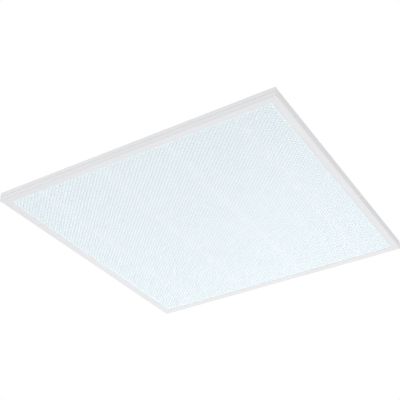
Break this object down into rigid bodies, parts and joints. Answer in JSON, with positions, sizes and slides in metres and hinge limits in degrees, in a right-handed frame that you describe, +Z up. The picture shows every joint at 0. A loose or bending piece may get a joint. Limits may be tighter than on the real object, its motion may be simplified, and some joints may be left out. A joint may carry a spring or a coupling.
{
  "type": "recessed panel light",
  "caption": "Square lay-in ceiling light: mitred white frame, prismatic diffuser, light strips in a steel tray, and a cased driver with folding hanging rings on the back.",
  "frame": {"origin": "middle of the plane in which the underside of the frame's lip lies, which is the plane of the ceiling grid", "axes": "+Z up into the ceiling void, +X along the light strips towards the mains inlet, +Y across the strips"},
  "size_m": [0.595, 0.595, 0.0444],
  "materials": {
    "white_rail": "white powder coat on extruded aluminium",
    "tray_zinc": "zinc-coated sheet steel, dull, with a faint spangle",
    "cast_key": "cast zinc, plain",
    "screw_zinc": "bright zinc plate",
    "reflector_white": "matt white film",
    "prism_sheet": "clear moulded sheet with small prisms",
    "foam": "closed-cell foam",
    "strip_board": "white solder mask",
    "light_chip": "yellow phosphor in a white frame",
    "rivet_alu": "bright",
    "connector_white": "moulded",
    "wire_white": "insulated wire",
    "wire_red": "insulated wire",
    "wire_black": "insulated wire",
    "rubber_black": "matt",
    "lead_white": "sheathed lead",
    "case_white": "fine moulded grain",
    "board_green": "solder mask",
    "ferrite": "sintered, dull",
    "winding_tape": "polyester tape",
    "capacitor_sleeve": "shrunk sleeve",
    "filter_yellow": "moulded box",
    "copper_wire": "enamelled copper winding",
    "sink_alu": "mill finish",
    "package_black": "moulded epoxy",
    "terminal_grey": "moulded",
    "spring_steel": "bright strip",
    "button_orange": "moulded",
    "ring_steel": "zinc-plated wire and sheet"
  },
  "bodies": {
    "panel": {"rail_front": "white_rail", "rail_back": "white_rail", "rail_left": "white_rail", "rail_right": "white_rail", "corner_key_1": "cast_key", "corner_key_2": "cast_key", "corner_key_3": "cast_key", "corner_key_4": "cast_key", "tray": "tray_zinc", "tray_studs": "screw_zinc", "tray_screws": "screw_zinc", "reflector_film": "reflector_white", "diffuser": "prism_sheet", "foam_pads": "foam", "led_strip_1": "strip_board", "led_strip_2": "strip_board", "led_strip_3": "strip_board", "led_strip_4": "strip_board", "led_chips": "light_chip", "strip_rivets": "rivet_alu", "strip_connectors": "connector_white", "link_wire_1": "wire_white", "link_wire_2": "wire_white", "link_wire_3": "wire_white", "feed_wire_plus": "wire_red", "feed_wire_minus": "wire_black", "lead_grommet": "rubber_black", "panel_lead": "lead_white", "lead_socket": "connector_white", "lead_plug": "connector_white", "driver_lead": "lead_white", "lead_clips": "connector_white", "driver_base": "case_white", "driver_cover": "case_white", "case_screws": "screw_zinc", "lead_bush": "rubber_black", "driver_nuts": "screw_zinc", "driver_board": "board_green", "transformer_core": "ferrite", "transformer_winding": "winding_tape", "bulk_capacitor": "capacitor_sleeve", "output_capacitors": "capacitor_sleeve", "filter_capacitor": "filter_yellow", "choke": "copper_wire", "heat_sink": "sink_alu", "transistor": "package_black", "mains_terminal": "terminal_grey", "clamp_springs": "spring_steel", "cable_clamp": "case_white", "clamp_screws": "screw_zinc", "ring_keepers": "ring_steel", "keeper_rivets": "rivet_alu"},
    "ring_1": {"hanging_ring_1": "ring_steel"},
    "ring_2": {"hanging_ring_2": "ring_steel"},
    "ring_3": {"hanging_ring_3": "ring_steel"},
    "ring_4": {"hanging_ring_4": "ring_steel"},
    "cover": {"terminal_cover": "case_white"},
    "live_button": {"button_live": "button_orange"},
    "neutral_button": {"button_neutral": "button_orange"}
  },
  "joints": [
    {"name": "ring_1_fold", "type": "hinge", "parent": "panel", "child": "ring_1", "pos_m": [-0.232, -0.176, 0.02053], "axis": [0, -1, 0], "range_deg": [0, 180]},
    {"name": "ring_2_fold", "type": "hinge", "parent": "panel", "child": "ring_2", "pos_m": [0.232, -0.176, 0.02053], "axis": [0, 1, 0], "range_deg": [0, 180]},
    {"name": "ring_3_fold", "type": "hinge", "parent": "panel", "child": "ring_3", "pos_m": [0.232, 0.176, 0.02053], "axis": [0, 1, 0], "range_deg": [0, 180]},
    {"name": "ring_4_fold", "type": "hinge", "parent": "panel", "child": "ring_4", "pos_m": [-0.232, 0.176, 0.02053], "axis": [0, -1, 0], "range_deg": [0, 180]},
    {"name": "cover_hinge", "type": "hinge", "parent": "panel", "child": "cover", "pos_m": [0.0573, 0, 0.0416], "axis": [0, -1, 0], "range_deg": [0, 90]},
    {"name": "live_press", "type": "slide", "parent": "panel", "child": "live_button", "axis": [0, 0, -1], "range_m": [0, 0.0015], "stiffness_N_per_m": 800, "springref_m": -0.0005},
    {"name": "neutral_press", "type": "slide", "parent": "panel", "child": "neutral_button", "axis": [0, 0, -1], "range_m": [0, 0.0015], "stiffness_N_per_m": 800, "springref_m": -0.0005}
  ]
}
